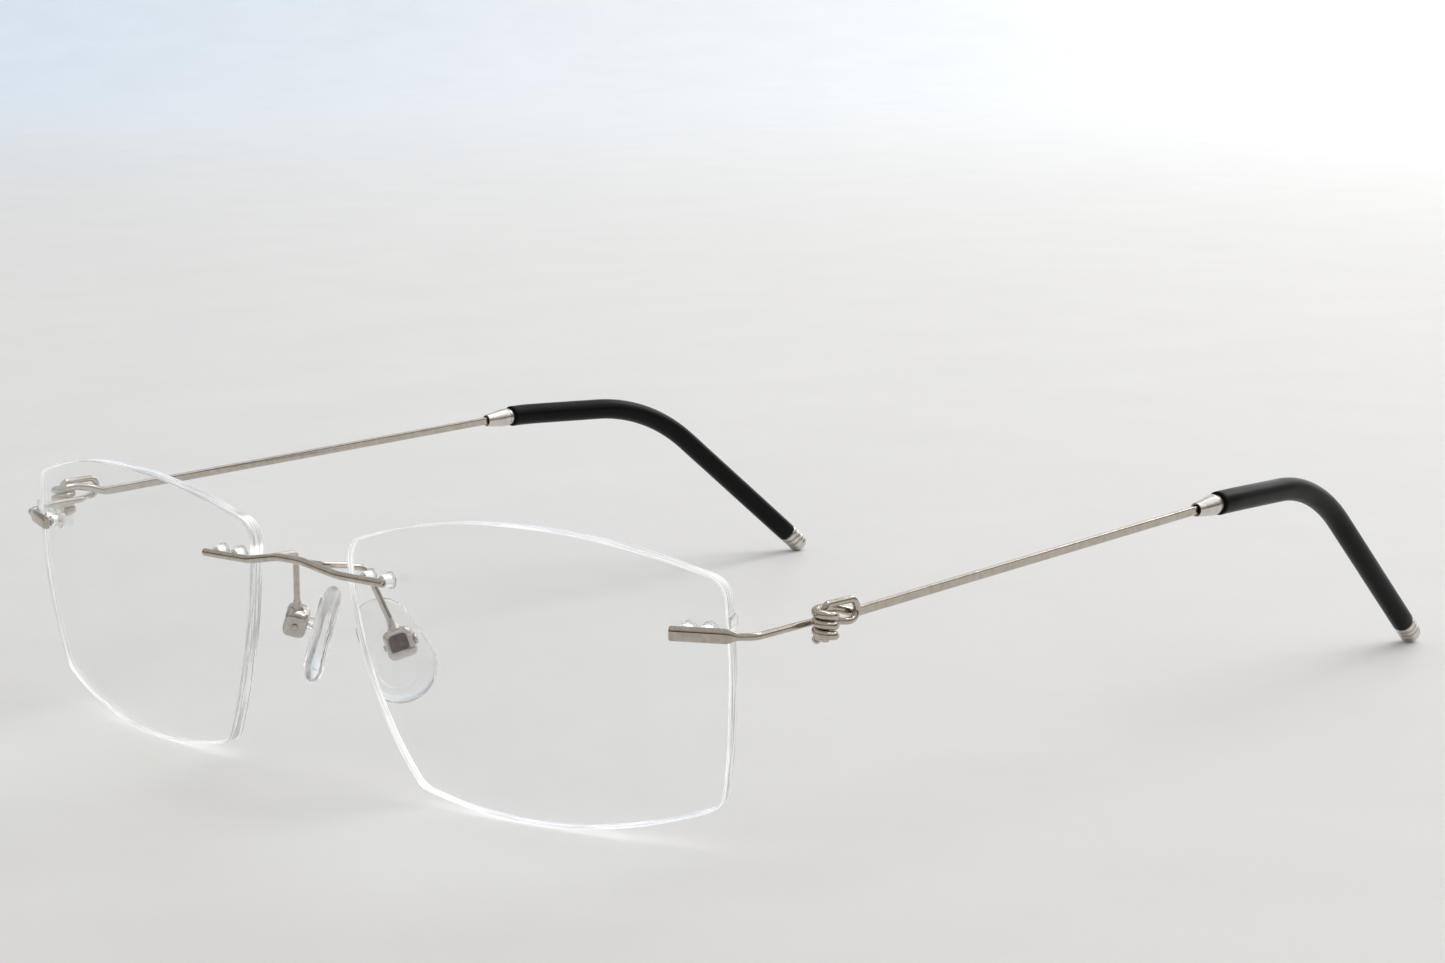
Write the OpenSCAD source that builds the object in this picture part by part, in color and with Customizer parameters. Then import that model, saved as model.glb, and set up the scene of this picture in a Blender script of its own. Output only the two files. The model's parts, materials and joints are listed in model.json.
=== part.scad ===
// Rimless eyeglasses: two drilled lenses carried by a titanium wire front, wire coil hinges,
// and flat wire temples with soft sleeves and metal tip caps.
// +X is the wearer's left, -Y is the front, +Z is up. The glasses stand open on their lens edges and tips.

/* [Lenses] */
// Width of one lens
lens_w = 55; // [50:0.5:60]
// Height of one lens
lens_h = 35.6; // [30:0.2:40]
// Thickness of one lens
lens_t = 2.2; // [1.6:0.1:3]
// Radius of the lens's front surface
lens_curve = 130; // [90:5:250]
// Half the distance between the lens centres
lens_x = 36.8; // [34:0.1:40]
// Angle that each lens turns back at its outer edge
wrap = 8.5; // [4:0.5:12]
// Angle that the lower edge of each lens leans back
panto = 5; // [2:0.5:8]
// Radius of the lens corners
lens_corner = 3; // [2:0.1:5]

/* [Wires] */
// Diameter of the bridge wire
bridge_d = 1; // [0.8:0.05:1.3]
// Diameter of the pad arm wire
arm_d = 0.8; // [0.6:0.05:1]
// Diameter of the end piece wire and the hinge pin
end_d = 0.86; // [0.7:0.02:0.88]
// Diameter of the coiled temple wire
coil_d = 1.05; // [0.9:0.05:1.05]
// Height of the end piece's flattened bar
bar_h = 1.7; // [1.2:0.1:2]

/* [Hinges] */
// Half the distance between the two hinge axes
hinge_x = 69.6; // [66:0.2:74]
// Distance from the lens centres back to the hinge axes
hinge_back = 15.8; // [14:0.2:18]
// Turns in each hinge coil
coil_turns = 3.1; // [2:0.1:3.1]
// Rise of the hinge coil in one turn
coil_pitch = 1.1; // [1.06:0.02:1.14]

/* [Temples] */
// Height of the flat temple wire
strip_h = 1.1; // [0.8:0.05:1.2]
// Thickness of the flat temple wire
strip_t = 0.85; // [0.6:0.05:0.9]
// Outer diameter of the sleeve
sleeve_d = 3.1; // [2.8:0.1:3.4]
// Radius of the bend over the ear
ear_bend = 30; // [20:1:40]
// Length of the metal tip cap
cap_l = 4.2; // [3:0.1:5]

/* [Nose pads] */
// Length of a nose pad
pad_l = 13.4; // [12:0.2:15]
// Width of a nose pad at its lower, wider end
pad_w = 8.8; // [7.6:0.2:9.4]
// Thickness of a nose pad
pad_t = 2.7; // [2:0.1:3]

/* [Hidden] */
$fn = 32;

// Lens centres: as far forward as the tips reach back, and so high that the lower edge touches z = 0.
lens_y = -76.02;
lens_z = lens_h / 2 * cos(panto) + 0.125;

// Places measured from the point between the lens centres, on the +X side.
bridge_end = [16.7, -2.67, 9.35];
bridge_side = [8.3, -2.55, 9.35];
bridge_top = [2.1, -3, 10.45];
bar_start = [57.65, 3.2, 7.8];
bar_dir = [cos(23.4), sin(23.4), 0];
bar_l = 6.6;
taper_l = 1.8;
bar_t = 0.9;
arm_root = [4.3, -2.15, 10.15];
arm_corner = [7.15, 4, 9.4];
pad_pivot = [10.3, 6.3, 0.1];
pad_turn = [-16.6, -17.9, 48];

// Pad box, the slot through it, and how far the pad stands from the screw.
box_size = [3.5, 3, 3.6];
slot_w = 2.1;
slot_h = 2.2;
screw_r = 0.4;
pad_at = [-1.5, 2.15, -0.1];
pad_splay = 8;

// Lens bush sizes, where the bushes sit along their wires, and how far each hole turns from straight back.
bush_r = 0.75;
bush_head_r = 1.05;
bush_head_t = 0.3;
bush_front = 0.75;
post_r = 0.4;
post_spare = 0.2;
bridge_bush_at = [1.3, 4.7];
bridge_bush_back = 3.1;
bridge_hole_turn = -3;
temple_bush_at = [1.1, 3.6];
temple_bush_back = 3.5;
temple_hole_turn = 18;

// Clear seat on the lens's outer edge, in the lens's own frame.
seat_size = [0.4, 2.1, 1.4];
seat_at = [lens_w / 2 + 0.08, 4.1, 8.95];
seat_turn = 10;

// Hinge heights, from the level of the lens centres.
coil_r = 1.05;
coil_top = 9.9;
eye_top = 10.5;
eye_low = 8.1;
pin_low = 6.3;
eye_x = hinge_x + 0.05;
eye_back = hinge_back + 4.1;

// Temple route.
strip_start = [hinge_x - 1, hinge_back + 6.2, 8.65];
sleeve_start = [65.85, 96.3, 10.7];
strip_dir = unit(sleeve_start - strip_start);
collar_l = 5.6;
core_l = 4;
ear_line = [65.75, 99, 10.7];
ear_apex = [62.7, 123.3, 9.55];
leg_dir = unit([-0.0966, 0.766, -0.6445]);
leg_l = 37.57;
ear_turn = acos(unit(ear_apex - ear_line) * leg_dir);
sleeve_end = ear_apex + leg_l * leg_dir;
cap_r = sleeve_d / 2;

function unit(v) = v / norm(v);
function cross_unit(a, b) = unit(cross(a, b));

// Frame whose Z axis points along dir and whose X axis stays level.
function frame_along(dir, at) =
  let (z = unit(dir), x = cross_unit(z, [0, 0, 1]), y = cross(z, x))
  [
    [x[0], y[0], z[0], at[0]],
    [x[1], y[1], z[1], at[1]],
    [x[2], y[2], z[2], at[2]],
    [0, 0, 0, 1]
  ];

// Points of the bend at inner point i of the route p, about step degrees apart.
function bend_points(p, radii, step, i) =
  let (
    d1 = unit(p[i] - p[i - 1]),
    d2 = unit(p[i + 1] - p[i]),
    r = radii[i - 1],
    turn = acos(d1 * d2),
    out = cross(d1, cross_unit(d1, d2)),
    centre = p[i] - r * tan(turn / 2) * d1 - r * out,
    n = max(1, ceil(turn / step))
  )
  [for (k = [0:n]) centre + r * (cos(turn * k / n) * out + sin(turn * k / n) * d1)];

// The route p with its inner corners rounded to the given radii.
function rounded_route(p, radii, step) = concat(
  [p[0]],
  [for (i = [1:len(p) - 2]) each bend_points(p, radii, step, i)],
  [p[len(p) - 1]]
);

// Closed tube along the points p. The rings lie across the route, which never runs along the vector across.
module swept_tube(p, r, sides, across = [0, 0, 1]) {
  n = len(p);
  rings = [
    for (i = [0:n - 1])
      let (
        t = unit(p[min(i + 1, n - 1)] - p[max(i - 1, 0)]),
        x = cross_unit(across, t),
        y = cross(t, x)
      )
      for (k = [0:sides - 1]) p[i] + r * (cos(360 * k / sides) * x + sin(360 * k / sides) * y)
  ];
  walls = [
    for (i = [0:n - 2])
      for (k = [0:sides - 1])
        let (m = (k + 1) % sides)
        [i * sides + k, (i + 1) * sides + k, (i + 1) * sides + m, i * sides + m]
  ];
  polyhedron(
    points = rings,
    faces = concat(
      walls,
      [[for (k = [0:sides - 1]) k]],
      [[for (k = [sides - 1:-1:0]) (n - 1) * sides + k]]
    ),
    convexity = 6
  );
}

function rounded_rectangle(w, h, r) = [
  for (k = [0:3])
    for (a = [0:30:90])
      let (sx = k == 0 || k == 3 ? 1 : -1, sy = k < 2 ? 1 : -1)
      [sx * (w / 2 - r) + r * cos(90 * k + a), sy * (h / 2 - r) + r * sin(90 * k + a)]
];

// Flat wire with softened edges, from a to b, h tall and t thick.
module flat_wire(a, b, t, h) {
  multmatrix(frame_along(b - a, a))
    linear_extrude(norm(b - a)) polygon(rounded_rectangle(t, h, 0.25));
}

// Blend from a flat wire at a to a round wire at b.
module flat_to_round(a, b, dir_b, t, h, r) {
  slice = 0.02;
  hull() {
    multmatrix(frame_along(b - a, a)) linear_extrude(slice) polygon(rounded_rectangle(t, h, 0.25));
    multmatrix(frame_along(dir_b, b)) linear_extrude(slice) circle(r, $fn = 24);
  }
}

// Moves its children from the point between the lens centres to their place, mirrored on the right side.
module on_side(side) {
  translate([0, lens_y, lens_z])
    if (side > 0) children();
    else mirror([1, 0, 0]) children();
}

// Moves its children from the lens's own frame to its place: X outward, Z up, Y back.
module at_lens() {
  translate([lens_x, 0, 0]) rotate([panto, 0, wrap]) children();
}

module lens_outline() {
  top_r = 88;
  low_r = 80;
  low_shift = -2;
  outer_r = 80;
  outer_level = 6.5;
  nasal_r = 54.5;
  nasal_at = [nasal_r - lens_w / 2 - 0.7, 15.1];
  offset(r = lens_corner, $fn = 48)
    offset(delta = -lens_corner)
      intersection() {
        translate([0, lens_h / 2 - top_r]) circle(top_r, $fn = 240);
        translate([low_shift, low_r - lens_h / 2]) circle(low_r, $fn = 240);
        translate([lens_w / 2 - outer_r, outer_level]) circle(outer_r, $fn = 240);
        translate(nasal_at) circle(nasal_r, $fn = 240);
      }
}

// One lens blank: the outline cut square through a curved shell. Two pairs of holes take the bushes.
module lens() {
  edge_front = -2;
  edge_sag = 3;
  edge_depth = 14;
  color([0.85, 0.92, 0.93, 0.35])
    difference() {
      at_lens()
        intersection() {
          translate([0, edge_front, 0])
            rotate([-90, 0, 0])
              linear_extrude(edge_depth, scale = 1 - edge_depth / (lens_curve - edge_front))
                scale((lens_curve - edge_front) / (lens_curve - edge_sag)) mirror([0, 1]) lens_outline();
          difference() {
            translate([0, lens_curve, 0]) sphere(lens_curve, $fn = 200);
            translate([0, lens_curve, 0]) sphere(lens_curve - lens_t, $fn = 200);
          }
        }
      for (d = bridge_bush_at) bush_hole(bridge_bush_place(d));
      for (d = temple_bush_at) bush_hole(temple_bush_place(d));
    }
}

function bridge_bush_place(d) = bridge_end + d * unit(bridge_side - bridge_end);
function temple_bush_place(d) = bar_start + d * bar_dir;

// Turns its children so that +Z runs straight back through the lens, at the place p on the wire.
module through_lens(p) {
  turn = p[0] > lens_x ? temple_hole_turn : bridge_hole_turn;
  translate(p) rotate([0, 0, turn]) rotate([-90, 0, 0]) children();
}

module bush_hole(p) {
  through_lens(p) cylinder(h = 24, r = bush_r, center = true);
}

// Clear headed bush that fills a lens hole, with a metal post's bore along its middle.
module bush(p, back) {
  spare = 0.5;
  color("whitesmoke")
    through_lens(p)
      difference() {
        union() {
          translate([0, 0, bush_front]) cylinder(h = back - bush_front, r = bush_r);
          translate([0, 0, back]) cylinder(h = bush_head_t, r = bush_head_r);
        }
        translate([0, 0, bush_front - spare])
          cylinder(h = back + bush_head_t - bush_front + 2 * spare, r = post_r);
      }
}

// Metal post that leaves the wire at p and runs back through its bush.
module post(p, l) {
  through_lens(p) cylinder(h = l, r = post_r);
}

module bridge_bushes() {
  for (d = bridge_bush_at) bush(bridge_bush_place(d), bridge_bush_back);
}

// Two bushes, and the small clear seat on the lens's outer edge, above the bar.
module temple_bushes() {
  for (d = temple_bush_at) bush(temple_bush_place(d), temple_bush_back);
  color("whitesmoke")
    at_lens() translate(seat_at) rotate([0, 0, seat_turn]) cube(seat_size, center = true);
}

// Front wire across the nose: straight along each lens, arched in the middle.
module bridge_wire() {
  color("silver")
    translate([0, lens_y, lens_z]) {
      half = [bridge_top, bridge_side, bridge_end];
      other = [for (i = [2:-1:0]) [-half[i][0], half[i][1], half[i][2]]];
      swept_tube(rounded_route(concat(other, half), [8, 8, 8, 8], 4), bridge_d / 2, 16);
      for (s = [0, 1])
        mirror([s, 0, 0])
          for (d = bridge_bush_at) post(bridge_bush_place(d), bridge_bush_back + post_spare);
    }
}

// One U-shaped wire soldered behind the bridge, whose ends carry the pad boxes.
module pad_arm_yoke() {
  pad_top = pad_pivot + [-0.6, -0.3, 1.6];
  half = [arm_root, arm_corner, pad_top];
  other = [for (i = [2:-1:0]) [-half[i][0], half[i][1], half[i][2]]];
  color("silver")
    translate([0, lens_y, lens_z])
      swept_tube(rounded_route(concat(other, half), [1.5, 1.4, 1.4, 1.5], 12), arm_d / 2, 12);
}

// Flat bar on the lens, round wire to the hinge, a stop eye beside the coil, and the hinge pin.
module end_piece() {
  bar_end = bar_start + bar_l * bar_dir;
  round_start = bar_end + taper_l * bar_dir;
  route = [
    round_start - 0.4 * bar_dir,
    [66.9, 7.2, 7.9],
    [67.4, 13.2, 8.2],
    [67.4, 17, 8.25],
    [eye_x, eye_back - 0.4, eye_low],
    [eye_x, eye_back + 1.2, eye_low],
    [eye_x, eye_back + 1.2, eye_top],
    [hinge_x, hinge_back, eye_top],
    [hinge_x, hinge_back, eye_top - 0.9]
  ];
  color("silver") {
    hull() {
      flat_wire(bar_start, bar_end, bar_t, bar_h);
      multmatrix(frame_along(bar_dir, round_start)) linear_extrude(0.02) circle(end_d / 2, $fn = 24);
    }
    swept_tube(rounded_route(route, [1.6, 3, 1.2, 1, 1.15, 1.15, 0.6], 12), end_d / 2 - 0.01, 12, [1, 0, 0]);
    translate([hinge_x, hinge_back, pin_low]) cylinder(h = eye_top - 0.7 - pin_low, r = end_d / 2);
    for (d = temple_bush_at) post(temple_bush_place(d), temple_bush_back + post_spare);
  }
}

// Helix point on the hinge coil, a turns after the temple wire reaches it.
function coil_point(a) = [
  hinge_x - coil_r * cos(360 * a),
  hinge_back - coil_r * sin(360 * a),
  coil_top - coil_pitch * a
];

// Coiled hinge barrel, the prong that feeds it, and the flat strip that runs back into the sleeve.
module temple_wire() {
  steps = 22;
  coil_path = [for (i = [0:floor(steps * coil_turns)]) coil_point(i / steps)];
  prong = [
    strip_start + [0, -0.9, 0.15],
    [hinge_x - coil_r, hinge_back + 3, coil_top - 0.35],
    [hinge_x - coil_r, hinge_back + 1.4, coil_top]
  ];
  color("silver") {
    swept_tube(concat(prong, coil_path), coil_d / 2, 12);
    flat_to_round(strip_start, prong[0], prong[1] - prong[0], strip_t, strip_h, coil_d / 2 - 0.02);
    flat_wire(strip_start, sleeve_start + core_l * strip_dir, strip_t, strip_h);
  }
}

// Turned ferrule: narrow mouth around the strip, fullest near the back, tucked into the sleeve.
module collar() {
  mouth_r = 0.72;
  mouth_depth = 0.8;
  color("silver")
    multmatrix(frame_along(strip_dir, sleeve_start - (collar_l - 0.6) * strip_dir))
      difference() {
        rotate_extrude($fn = 48)
          polygon([
            [0, 0], [0.86, 0], [0.95, 0.5], [1.12, 1.6], [1.28, 2.7],
            [1.37, 3.6], [1.35, 4.2], [1.22, 4.7], [1.1, 5], [1.1, collar_l], [0, collar_l]
          ]);
        cylinder(h = 2 * mouth_depth, r = mouth_r, center = true);
      }
}

// Soft round sleeve: over the strip, round the ear bend and down to the tip cap.
module sleeve() {
  socket_r = 1.1;
  leg_start = ear_apex + (ear_bend * tan(ear_turn / 2) - 0.3) * leg_dir;
  color([0.09, 0.09, 0.1])
    difference() {
      union() {
        swept_tube(
          rounded_route([sleeve_start, ear_line, ear_apex, leg_start + leg_dir], [40, ear_bend], 4),
          sleeve_d / 2 - 0.01,
          24
        );
        multmatrix(frame_along(leg_dir, leg_start)) cylinder(h = norm(sleeve_end - leg_start), r = sleeve_d / 2);
      }
      multmatrix(frame_along(strip_dir, sleeve_start - strip_dir)) cylinder(h = 1.6, r = socket_r);
    }
}

// Metal end cap with three ring grooves and a domed end.
module tip_cap() {
  groove = 0.18;
  ring_pitch = 0.95;
  dome_h = 1.25;
  dome = [for (a = [0:10:90]) [cap_r * cos(a), cap_l - dome_h + dome_h * sin(a)]];
  rings = [
    for (z = [0:ring_pitch:2 * ring_pitch])
      each [
        [cap_r - groove, z], [cap_r - groove, z + 0.2],
        [cap_r, z + 0.32], [cap_r, z + ring_pitch - 0.12]
      ]
  ];
  color("silver")
    multmatrix(frame_along(leg_dir, sleeve_end))
      rotate_extrude($fn = 48)
        polygon(concat([[0, 0]], rings, dome));
}

// Moves its children to the pad's own frame: X along the pivot screw, Y to the nose, Z up the pad.
module at_pad() {
  translate(pad_pivot) rotate(pad_turn) children();
}

// Small cast box on the arm's end, open front to back for the pad's lug.
module pad_box() {
  corner = 0.6;
  color("silver")
    at_pad()
      difference() {
        hull()
          for (x = [-1, 1], y = [-1, 1], z = [-1, 1])
            translate([
              x * (box_size[0] / 2 - corner),
              y * (box_size[1] / 2 - corner),
              z * (box_size[2] / 2 - corner)
            ])
              sphere(corner, $fn = 24);
        cube([slot_w, box_size[1] + 2, slot_h], center = true);
        rotate([0, 90, 0]) cylinder(h = box_size[0] + 2, r = screw_r, center = true);
      }
}

// Pivot screw across the box, with its head on the outer side.
module pad_screw() {
  end_spare = 0.25;
  head_r = 0.7;
  head_t = 0.4;
  color("silver")
    at_pad() {
      rotate([0, 90, 0]) cylinder(h = box_size[0] + 2 * end_spare, r = screw_r, center = true);
      translate([box_size[0] / 2, 0, 0]) rotate([0, 90, 0]) cylinder(h = head_t, r = head_r);
    }
}

// Clear lug that pivots on the screw inside the box, and its neck to the pad.
module pad_lug() {
  lug_w = 1.8;
  lug_r = 0.9;
  neck_t = 1;
  overlap = 0.3;
  color("whitesmoke")
    at_pad()
      difference() {
        union() {
          rotate([0, 90, 0]) cylinder(h = lug_w, r = lug_r, center = true);
          translate([-lug_w / 2, 0, -neck_t / 2]) cube([lug_w, pad_at[1] + overlap, neck_t]);
        }
        rotate([0, 90, 0]) cylinder(h = lug_w + 1, r = screw_r + 0.05, center = true);
      }
}

// Clear soft pad: a thin rounded oval, wider at its lower end.
module nose_pad() {
  top_r = pad_w / 2 - 0.5;
  low_r = pad_w / 2;
  color("whitesmoke")
    at_pad()
      translate(pad_at)
        rotate([0, -pad_splay, 0])
          hull() {
            translate([0, 0, pad_l / 2 - top_r]) pad_disc(top_r);
            translate([0, 0, low_r - pad_l / 2]) pad_disc(low_r);
          }
}

// Rounded disc lying across Y, pad_t thick.
module pad_disc(r) {
  edge = pad_t / 2;
  rotate([-90, 0, 0])
    rotate_extrude($fn = 40)
      polygon([
        [0, 0], [r - edge, 0],
        each [for (a = [-60:30:60]) [r - edge + edge * cos(a), edge + edge * sin(a)]],
        [r - edge, pad_t], [0, pad_t - 0.3]
      ]);
}

on_side(1) lens();  // left_lens
on_side(-1) lens();  // right_lens
bridge_wire();
pad_arm_yoke();
on_side(1) bridge_bushes();  // left_bridge_bushes
on_side(-1) bridge_bushes();  // right_bridge_bushes
on_side(1) temple_bushes();  // left_temple_bushes
on_side(-1) temple_bushes();  // right_temple_bushes
on_side(1) end_piece();  // left_end_piece
on_side(-1) end_piece();  // right_end_piece
on_side(1) pad_box();  // left_pad_box
on_side(-1) pad_box();  // right_pad_box
on_side(1) pad_screw();  // left_pad_screw
on_side(-1) pad_screw();  // right_pad_screw
on_side(1) pad_lug();  // left_pad_lug
on_side(-1) pad_lug();  // right_pad_lug
on_side(1) nose_pad();  // left_nose_pad
on_side(-1) nose_pad();  // right_nose_pad
on_side(1) temple_wire();  // left_temple_wire
on_side(-1) temple_wire();  // right_temple_wire
on_side(1) collar();  // left_collar
on_side(-1) collar();  // right_collar
on_side(1) sleeve();  // left_sleeve
on_side(-1) sleeve();  // right_sleeve
on_side(1) tip_cap();  // left_tip_cap
on_side(-1) tip_cap();  // right_tip_cap
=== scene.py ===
"""Looks of the rimless eyeglasses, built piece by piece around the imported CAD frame.

Shapes are made in millimetres, from the point between the two lens centres: +X is the wearer's left, -Y
the front and +Z up. Each piece of the left half is also made mirrored for the right half, then moved to
its place in the row frame, in metres.
"""

import json
import math

import bpy
import numpy as np
from mathutils import Matrix, Vector


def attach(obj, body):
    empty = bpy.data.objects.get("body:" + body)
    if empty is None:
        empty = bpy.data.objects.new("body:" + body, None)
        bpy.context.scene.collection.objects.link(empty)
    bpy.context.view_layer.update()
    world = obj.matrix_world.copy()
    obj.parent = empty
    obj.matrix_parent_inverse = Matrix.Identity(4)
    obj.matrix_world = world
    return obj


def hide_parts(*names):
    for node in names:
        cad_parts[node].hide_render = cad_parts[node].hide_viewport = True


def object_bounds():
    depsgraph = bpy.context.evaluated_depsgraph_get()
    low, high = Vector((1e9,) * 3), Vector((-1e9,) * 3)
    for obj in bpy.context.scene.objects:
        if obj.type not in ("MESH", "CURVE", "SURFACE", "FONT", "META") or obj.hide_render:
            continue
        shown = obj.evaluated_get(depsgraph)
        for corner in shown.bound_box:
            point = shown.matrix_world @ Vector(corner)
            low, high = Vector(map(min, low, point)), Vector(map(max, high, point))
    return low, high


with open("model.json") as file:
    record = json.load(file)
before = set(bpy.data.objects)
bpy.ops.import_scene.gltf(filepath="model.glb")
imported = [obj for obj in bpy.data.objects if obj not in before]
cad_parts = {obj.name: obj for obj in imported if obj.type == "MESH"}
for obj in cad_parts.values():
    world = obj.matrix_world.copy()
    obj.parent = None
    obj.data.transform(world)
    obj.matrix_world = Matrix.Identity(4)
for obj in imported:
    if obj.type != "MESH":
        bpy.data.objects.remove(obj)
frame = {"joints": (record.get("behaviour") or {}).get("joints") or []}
cad_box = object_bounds()

MM = 0.001
SIDES = {"left": 1, "right": -1}
UP = np.array([0.0, 0.0, 1.0])
NOSEWARD = np.array([0.0, 1.0, 0.0])
WIRE_GIRTH = 3.0

# Lenses
LENS_W = 55.0
LENS_H = 35.6
LENS_T = 2.2
LENS_CURVE = 130.0
LENS_X = 36.8
WRAP = math.radians(8.5)
PANTO = math.radians(5.0)
LENS_CORNER = 3.0
LOW_R = 80.0
OUTER_R = 80.0
TOP_R = 88.0
NASAL_R = 54.5
EDGE_SAG = 3.0
EDGE_BEVEL = 0.22

# Front wires
BRIDGE_R = 0.5
ARM_R = 0.4
END_R = 0.43
BRIDGE_HALF = [(2.1, -3, 10.45), (8.3, -2.55, 9.35), (16.7, -2.67, 9.35)]
ARM_HALF = [(4.3, -2.15, 10.15), (7.15, 4, 9.4), (9.7, 6.0, 1.7)]
BAR_START = np.array([57.65, 3.2, 7.8])
BAR_DIR = np.array([math.cos(math.radians(23.4)), math.sin(math.radians(23.4)), 0.0])
BAR_L = 6.6
TAPER_L = 1.8
BAR_T = 0.9
BAR_H = 1.7
BAR_CROWN = 0.7
BAR_CORNER = 0.2

# Bushes through the lenses
BUSH_R = 0.72
BUSH_HEAD_R = 1.05
BUSH_HEAD_T = 0.3
BUSH_FRONT = 0.75
POST_R = 0.4
BRIDGE_BUSHES = {"at": (1.3, 4.7), "back": 3.1, "turn": math.radians(-3)}
TEMPLE_BUSHES = {"at": (1.1, 3.6), "back": 3.5, "turn": math.radians(18)}
SEAT_HALF = (0.12, 1.05, 0.7)
SEAT_AT = np.array([LENS_W / 2, 4.1, 8.95])
SEAT_TURN = math.radians(10)

# Hinge and temple
HINGE = np.array([69.6, 15.8, 8.5])
COIL_R = 1.05
COIL_WIRE_R = 0.525
COIL_TOP = 9.9
COIL_PITCH = 1.1
COIL_TURNS = 3.1
EYE_TOP = 10.5
EYE_LOW = 8.1
PIN_LOW = 6.3
STRIP_START = np.array([68.6, 22.0, 8.65])
STRIP_T = 0.85
STRIP_H = 1.1
SLEEVE_START = np.array([65.85, 96.3, 10.7])
SLEEVE_R = 1.55
EAR_LINE = np.array([65.75, 99, 10.7])
EAR_APEX = np.array([62.7, 123.3, 9.55])
LEG_DIR = np.array([-0.0966, 0.766, -0.6445]) / np.linalg.norm([-0.0966, 0.766, -0.6445])
LEG_L = 37.57
EAR_BEND = 30.0
MOUTH_BEND = 40.0
COLLAR_L = 5.6
CORE_L = 4.0
CAP_L = 4.2
CAP_R = SLEEVE_R

# Nose pads
PAD_PIVOT = np.array([10.3, 6.3, 0.1])
PAD_TURN = (math.radians(-16.6), math.radians(-17.9), math.radians(48))
PAD_AT = np.array([-1.5, 2.15, -0.1])
PAD_SPLAY = math.radians(-8)
PAD_L = 13.4
PAD_LOW_R = 4.4
PAD_TOP_R = 3.9
BOX_SIZE = (3.5, 3.0, 3.6)
BOX_CORNER = 0.75
SCREW_R = 0.4
SLOT_W = 1.9
SLOT_H = 1.7
FRONT_SLOT_W = 2.25
FRONT_SLOT_H = 2.1

left_fold = next(j for j in frame["joints"] if j["name"] == "left_temple_fold")
ORIGIN = np.array(left_fold["pos_m"]) / MM - HINGE


# ---------------------------------------------------------------- shapes

def unit(v):
    v = np.asarray(v, float)
    return v / np.linalg.norm(v)


def mirrored_route(half):
    """A route given on its +X half, from the middle outwards, with the other half put before it."""
    half = [np.array(p, float) for p in half]
    return [p * (-1, 1, 1) for p in reversed(half)] + half


def rounded_route(points, radii, step=5.0):
    """The route with its inner corners rounded to the given radii, one point every step degrees."""
    points = [np.array(p, float) for p in points]
    route = [points[0]]
    for i, r in enumerate(radii, 1):
        d1, d2 = unit(points[i] - points[i - 1]), unit(points[i + 1] - points[i])
        turn = math.acos(np.clip(d1 @ d2, -1, 1))
        out = np.cross(d1, unit(np.cross(d1, d2)))
        centre = points[i] - r * math.tan(turn / 2) * d1 - r * out
        n = max(2, math.ceil(math.degrees(turn) / step))
        for k in range(n + 1):
            a = turn * k / n
            route.append(centre + r * (math.cos(a) * out + math.sin(a) * d1))
    route.append(points[-1])
    return np.array(route)


def round_section(r, n):
    a = np.arange(n) * 2 * math.pi / n
    return np.stack([r * np.cos(a), r * np.sin(a)], 1)


def box_section(half_w, half_h, corner, n, crown=None):
    """Rounded rectangle with n points, a quarter of them on each corner.

    The crown is the (width, height) of its top corners, where they differ from the others.
    """
    per = n // 4
    points = []
    for k, (sx, sy) in enumerate(((1, 1), (-1, 1), (-1, -1), (1, -1))):
        w, h = crown if crown and sy > 0 else (corner, corner)
        for i in range(per):
            a = math.pi / 2 * (k + (i + 0.5) / per)
            points.append((sx * (half_w - w) + w * math.cos(a), sy * (half_h - h) + h * math.sin(a)))
    return np.array(points)


def end_rings(r, edge, dimple):
    """(radius, depth) of the rings on a cut wire's end, from its middle out to its rounded edge."""
    rings = [(0.06 * r, 0.16), (0.34 * r, 0.13), (0.46 * r, 0.0)] if dimple else [(0.1 * r, 0.0)]
    for a in np.radians((0, 25, 50, 75, 90)):
        rings.append((r - edge * (1 - math.sin(a)), edge * (1 - math.cos(a))))
    return rings


def wire(path, r, sides=24, edge=0.1, dimple=False):
    """Round wire with rounded cut ends."""
    path = [np.array(p, float) for p in path]
    t0, t1 = unit(path[1] - path[0]), unit(path[-1] - path[-2])
    ends = end_rings(r, edge, dimple)
    points = [path[0] + d * t0 for _, d in ends] + path[1:-1]
    points += [path[-1] - d * t1 for _, d in reversed(ends)]
    radii = [q for q, _ in ends] + [r] * (len(path) - 2) + [q for q, _ in reversed(ends)]
    return sweep(points, [round_section(q, sides) for q in radii], t0, t1, len(ends), len(ends))


def sweep(points, sections, start, stop, first, last):
    """Closed skin through one section per point, with a (round, along) pair in mm for each of its points.

    The first and last few sections lie across start and stop, even where the points step back.
    """
    n, m = len(points), len(sections[0])
    side = np.cross(start, UP)
    x = unit(side if np.linalg.norm(side) > 0.1 else np.cross(start, (0, 1, 0)))
    rings, grain, along = [], [], 0.0
    for i, (point, section) in enumerate(zip(points, sections)):
        if i < first:
            tangent = start
        elif i >= n - last:
            tangent = stop
        else:
            tangent = unit(unit(points[i + 1] - point) + unit(point - points[i - 1]))
        x = unit(x - (x @ tangent) * tangent)
        rings.append(point + section[:, :1] * x + section[:, 1:] * np.cross(x, tangent))
        along += np.linalg.norm(point - points[i - 1]) if i else 0.0
        grain += [(WIRE_GIRTH * k / m, along) for k in range(m)]
    return np.concatenate(rings), skin_faces(n, m), grain


def straight(points, sections, direction):
    """A sweep with every section across one direction."""
    return sweep(points, sections, direction, direction, len(points), 0)


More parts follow.
